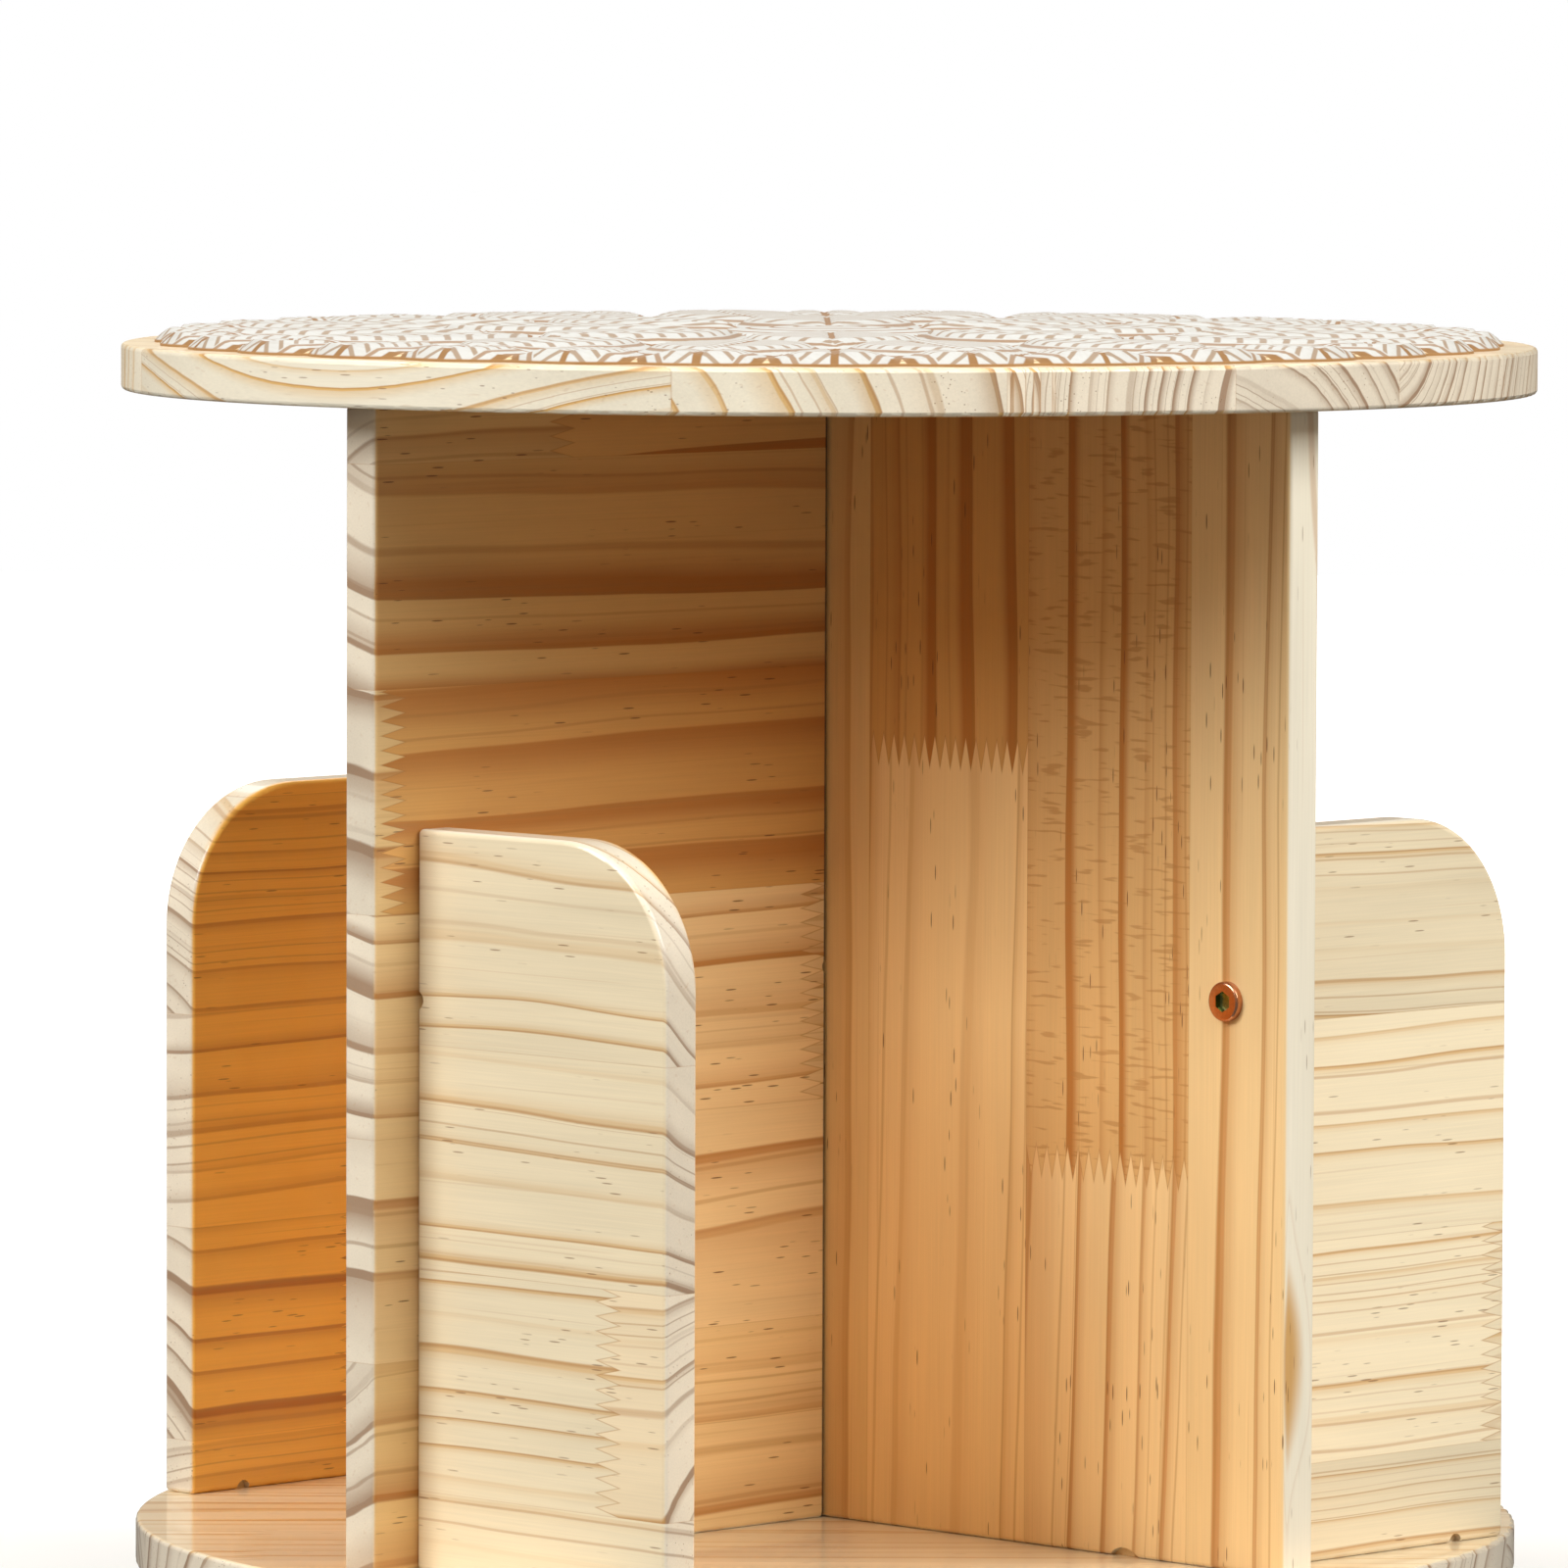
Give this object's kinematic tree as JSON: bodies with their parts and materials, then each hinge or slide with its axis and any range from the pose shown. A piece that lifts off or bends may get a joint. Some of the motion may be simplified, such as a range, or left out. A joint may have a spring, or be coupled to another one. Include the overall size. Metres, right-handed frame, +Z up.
{
  "type": "rotating bookshelf",
  "caption": "Revolving pine desk bookshelf: round top and shelf around crossed dividers with short rounded guards, turning on a ball-bearing ring over a round base.",
  "frame": {"origin": "on the floor, on the axis that the carousel turns about", "axes": "+Z up along that axis, +X along the cross panel, +Y along the half panels"},
  "size_m": [0.3999, 0.4, 0.3827],
  "materials": {
    "pine": "finger-jointed pine, clear gloss lacquer",
    "ornament": "white stain over carving, brown grooves",
    "dowel_wood": "bare turned beech",
    "bolt_steel": "yellow zinc on steel",
    "screw_steel": "bright zinc",
    "ring_aluminium": "satin turned",
    "ball_steel": "polished",
    "cage_plastic": "natural nylon",
    "foot_rubber": "matt"
  },
  "bodies": {
    "base": {"base_disc": "pine", "bearing_outer_ring": "ring_aluminium", "outer_ring_screws": "screw_steel", "foot_1": "foot_rubber", "foot_2": "foot_rubber", "foot_3": "foot_rubber", "foot_4": "foot_rubber", "foot_5": "foot_rubber", "foot_6": "foot_rubber", "foot_screws": "screw_steel"},
    "carousel": {"top_disc": "pine", "top_ornament": "ornament", "cross_panel": "pine", "rear_half_panel": "pine", "front_half_panel": "pine", "right_guard": "pine", "rear_guard": "pine", "left_guard": "pine", "front_guard": "pine", "shelf_disc": "pine", "bearing_inner_ring": "ring_aluminium", "guard_bolts": "bolt_steel", "panel_stud": "screw_steel", "panel_screws": "screw_steel", "guard_screws": "screw_steel", "top_dowels": "dowel_wood", "inner_ring_screws": "screw_steel"},
    "ball_ring": {"bearing_cage": "cage_plastic", "bearing_balls": "ball_steel"}
  },
  "joints": [
    {"name": "carousel_spin", "type": "hinge", "parent": "base", "child": "carousel", "pos_m": [0, 0, 0.02625], "axis": [0, 0, 1], "continuous": true},
    {"name": "ball_ring_spin", "type": "hinge", "parent": "base", "child": "ball_ring", "pos_m": [0, 0, 0.02625], "axis": [0, 0, 1], "continuous": true}
  ],
  "couplings": [
    {"joint": "ball_ring_spin", "follows": "carousel_spin", "ratio": 0.5}
  ]
}
